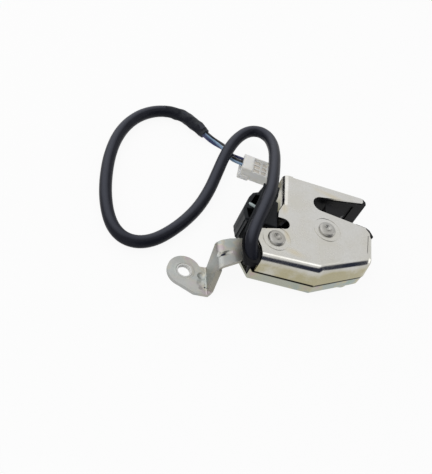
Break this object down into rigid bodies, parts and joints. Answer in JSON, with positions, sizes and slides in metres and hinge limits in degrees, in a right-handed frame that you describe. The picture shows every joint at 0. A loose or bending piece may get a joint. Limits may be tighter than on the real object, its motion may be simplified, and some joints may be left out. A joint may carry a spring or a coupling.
{
  "type": "door latch actuator",
  "caption": "Fork latch for a vehicle door or tailgate: pressed steel shells round a slot, a release lever with an eye, a position switch and its lead with a connector.",
  "frame": {"origin": "the striker's axis when latched, at the closed end of the slot, on the plane of the three fixing pads", "axes": "+X along the slot to its mouth; +Y up the front plate, away from the lever's eye; +Z along the rivets, from the fixing pads to the front plate"},
  "size_m": [0.1652, 0.138, 0.031],
  "materials": {
    "front_zinc": "zinc plated pressed steel, faint yellow passivation",
    "back_zinc": "zinc plated pressed steel, greenish passivation",
    "lever_zinc": "zinc plated steel, satin",
    "rivet_steel": "zinc plated steel",
    "mechanism_steel": "hardened steel, oiled",
    "spring_steel": "spring wire",
    "black_plastic": "moulded, fine grain",
    "housing_plastic": "moulded, satin",
    "claw_plastic": "overmoulded",
    "white_nylon": "nylon",
    "ivory_nylon": "natural nylon",
    "buffer_rubber": "matt",
    "sleeve_black": "flexible sleeve, slight sheen",
    "wire_navy": "wire insulation",
    "wire_sky": "wire insulation",
    "wire_dark": "wire insulation",
    "lead_pale": "heat-shrink over the light blue wire",
    "contact_brass": "tinned brass"
  },
  "bodies": {
    "lock_body": {"front_shell": "front_zinc", "back_plate": "back_zinc", "guide_housing": "black_plastic", "striker_buffer": "buffer_rubber", "claw_rivet": "rivet_steel", "pawl_rivet": "rivet_steel", "claw_washer": "mechanism_steel", "pawl_washer": "mechanism_steel", "claw_spring": "spring_steel", "lever_spring": "spring_steel", "switch_housing": "housing_plastic", "switch_body": "black_plastic", "switch_terminals": "contact_brass", "cord_gland": "black_plastic", "cord_sleeve": "sleeve_black", "wire_blue": "wire_navy", "wire_light_blue": "wire_sky", "wire_black": "wire_dark", "connector_body": "ivory_nylon", "connector_blades": "contact_brass", "connector_crimps": "contact_brass", "inner_lead": "lead_pale"},
    "claw": {"claw": "mechanism_steel", "claw_cover": "claw_plastic"},
    "pawl": {"pawl": "mechanism_steel"},
    "release_lever": {"release_lever": "lever_zinc", "lever_bush": "white_nylon"},
    "plunger": {"switch_plunger": "ivory_nylon"}
  },
  "joints": [
    {"name": "claw_turn", "type": "hinge", "parent": "lock_body", "child": "claw", "pos_m": [0.003, -0.0193, 0.0183], "axis": [0, 0, 1], "range_deg": [0, 55], "stiffness_Nm_per_rad": 0.03, "springref_deg": -45.84},
    {"name": "lever_turn", "type": "hinge", "parent": "lock_body", "child": "release_lever", "pos_m": [-0.0279, -0.0365, 0.0148], "axis": [0, 0, 1], "range_deg": [-12, 0], "stiffness_Nm_per_rad": 0.05, "springref_deg": 40.11},
    {"name": "pawl_turn", "type": "hinge", "parent": "lock_body", "child": "pawl", "pos_m": [-0.0279, -0.0365, 0.0183], "axis": [0, 0, 1], "range_deg": [-12, 0]},
    {"name": "plunger_press", "type": "slide", "parent": "lock_body", "child": "plunger", "axis": [0, 1, 0], "range_m": [0, 0.0012]}
  ],
  "couplings": [
    {"joint": "pawl_turn", "follows": "lever_turn", "ratio": 1},
    {"joint": "plunger_press", "follows": "lever_turn", "m_per_rad": -0.0057}
  ]
}
